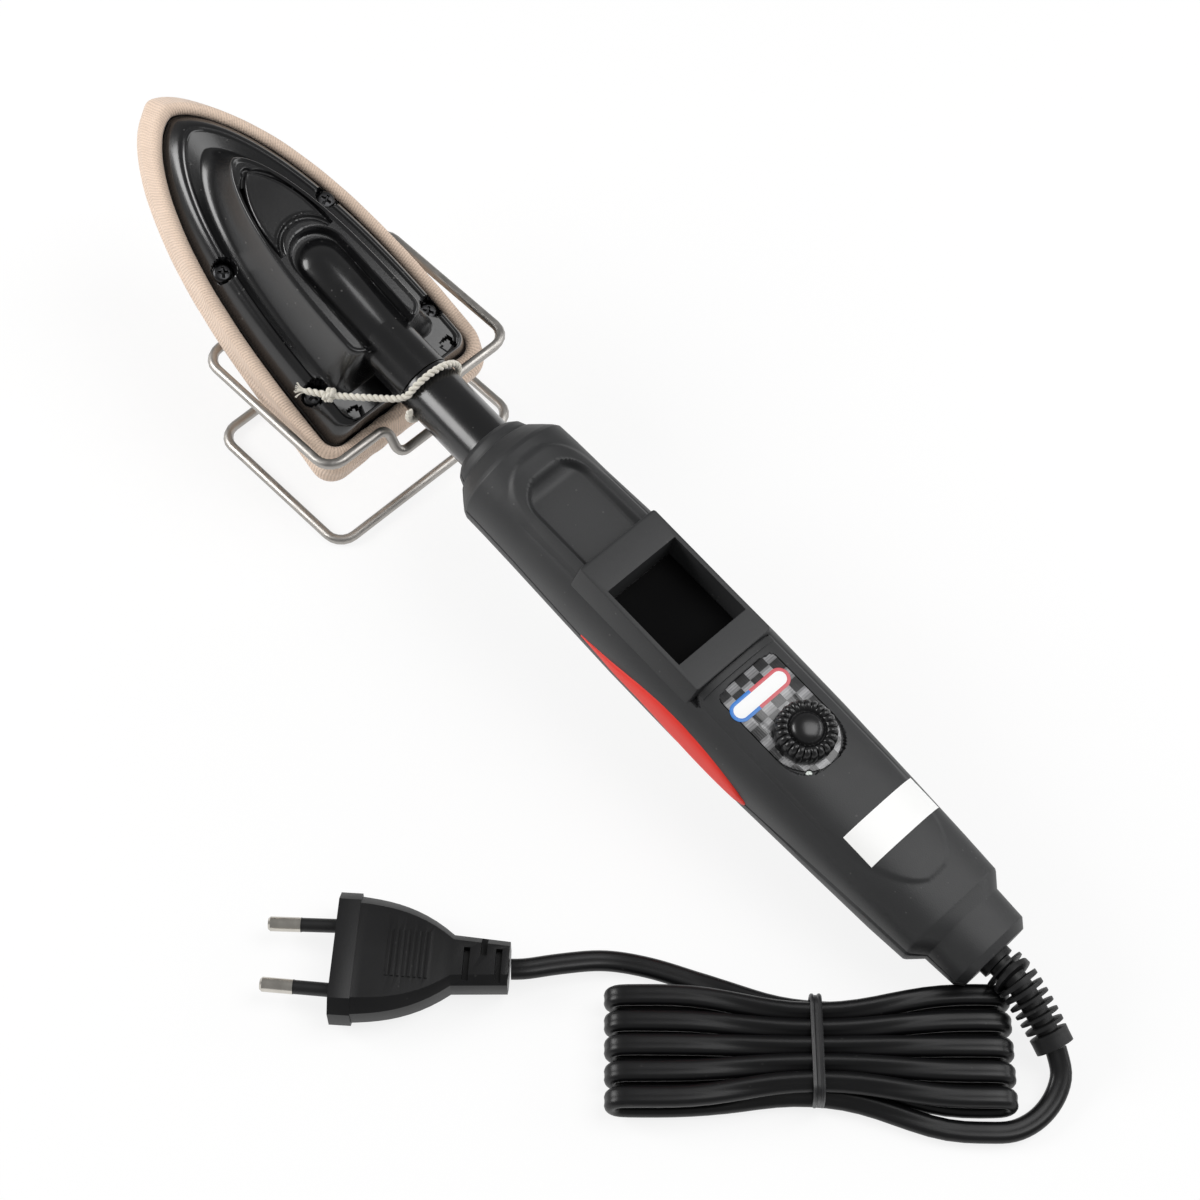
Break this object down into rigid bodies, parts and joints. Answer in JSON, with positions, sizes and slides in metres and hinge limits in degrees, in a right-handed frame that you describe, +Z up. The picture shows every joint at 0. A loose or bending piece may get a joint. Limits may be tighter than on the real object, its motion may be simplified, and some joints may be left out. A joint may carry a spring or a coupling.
{
  "type": "sealing iron",
  "caption": "Hand sealing iron for heat-shrink covering: cloth-covered shoe head, temperature knob, plugged mains cord in a hank, on a bent-wire stand.",
  "frame": {"origin": "on the table, under the middle of the iron and its stand, cord left out", "axes": "+X along the iron from the shoe tip to the cord, +Y to its right, +Z up"},
  "size_m": [0.378, 0.1788, 0.083],
  "materials": {
    "black_knob": "glossy, ribbed",
    "blackened_screw": "blackened",
    "boot_rubber": "moulded",
    "bright_wire": "bright drawn wire",
    "capacitor_yellow": "moulded",
    "cast_aluminium": "cast, smooth sole",
    "ceramic_felt": "fibre felt",
    "clamp_plastic": "moulded",
    "clear_lens": "clear lens",
    "cotton_cover": "ribbed knit",
    "draw_cord": "twisted cotton",
    "glass_sensor": "bead in a sleeve",
    "glossy_black_housing": "moulded, glossy",
    "glossy_black_neck": "glossy",
    "green_board": "solder mask",
    "heater_lead_sleeve": "glass fibre sleeve",
    "mains_cord": "satin sheath",
    "matte_black_panel": "plain matt",
    "matte_grey_bezel": "fine spark grain",
    "matte_grey_plastic": "fine spark grain",
    "mica_heater": "mica and wire, matt",
    "nickel_pin": "nickel plated",
    "nickel_shaft": "nickel plated",
    "panel_film": "printed film, check weave",
    "plug_plastic": "moulded, satin",
    "pot_body": "moulded",
    "red_grip_insert": "soft matt",
    "terminal_green": "moulded",
    "tie_strap": "coated wire tie",
    "triac_body": "moulded",
    "zinc_screw": "zinc plated"
  },
  "bodies": {
    "stand": {"wire_stand": "bright_wire"},
    "iron": {"bay_floor": "matte_black_panel", "case_screw_1": "zinc_screw", "case_screw_2": "zinc_screw", "circuit_board": "green_board", "cord_clamp": "clamp_plastic", "cord_hank": "mains_cord", "cord_lead": "mains_cord", "cord_tail": "mains_cord", "cord_tie": "tie_strap", "display_bezel": "matte_grey_bezel", "draw_string": "draw_cord", "filter_capacitor": "capacitor_yellow", "handle_lower_shell": "matte_grey_plastic", "handle_upper_shell": "matte_grey_plastic", "head_housing": "glossy_black_housing", "head_screw_1": "blackened_screw", "head_screw_2": "blackened_screw", "head_screw_3": "blackened_screw", "head_screw_4": "blackened_screw", "heater_lead_1": "heater_lead_sleeve", "heater_lead_2": "heater_lead_sleeve", "heating_element": "mica_heater", "insulation_pad": "ceramic_felt", "neck_tube": "glossy_black_neck", "pilot_light": "clear_lens", "plug_body": "plug_plastic", "plug_pin_1": "nickel_pin", "plug_pin_2": "nickel_pin", "potentiometer": "pot_body", "scale_panel": "panel_film", "shoe_cover": "cotton_cover", "side_insert_left": "red_grip_insert", "side_insert_right": "red_grip_insert", "sole_plate": "cast_aluminium", "strain_relief_boot": "boot_rubber", "temperature_sensor": "glass_sensor", "terminal_block": "terminal_green", "triac": "triac_body"},
    "knob": {"temperature_knob": "black_knob", "potentiometer_shaft": "nickel_shaft"}
  },
  "joints": [
    {"name": "iron_lift", "type": "slide", "parent": "stand", "child": "iron", "axis": [0, 0, 1], "range_m": [0, 0.06]},
    {"name": "knob_turn", "type": "hinge", "parent": "iron", "child": "knob", "pos_m": [0.09703, 0, 0.04319], "axis": [0.1891, 0, 0.982], "range_deg": [-135, 135]}
  ]
}
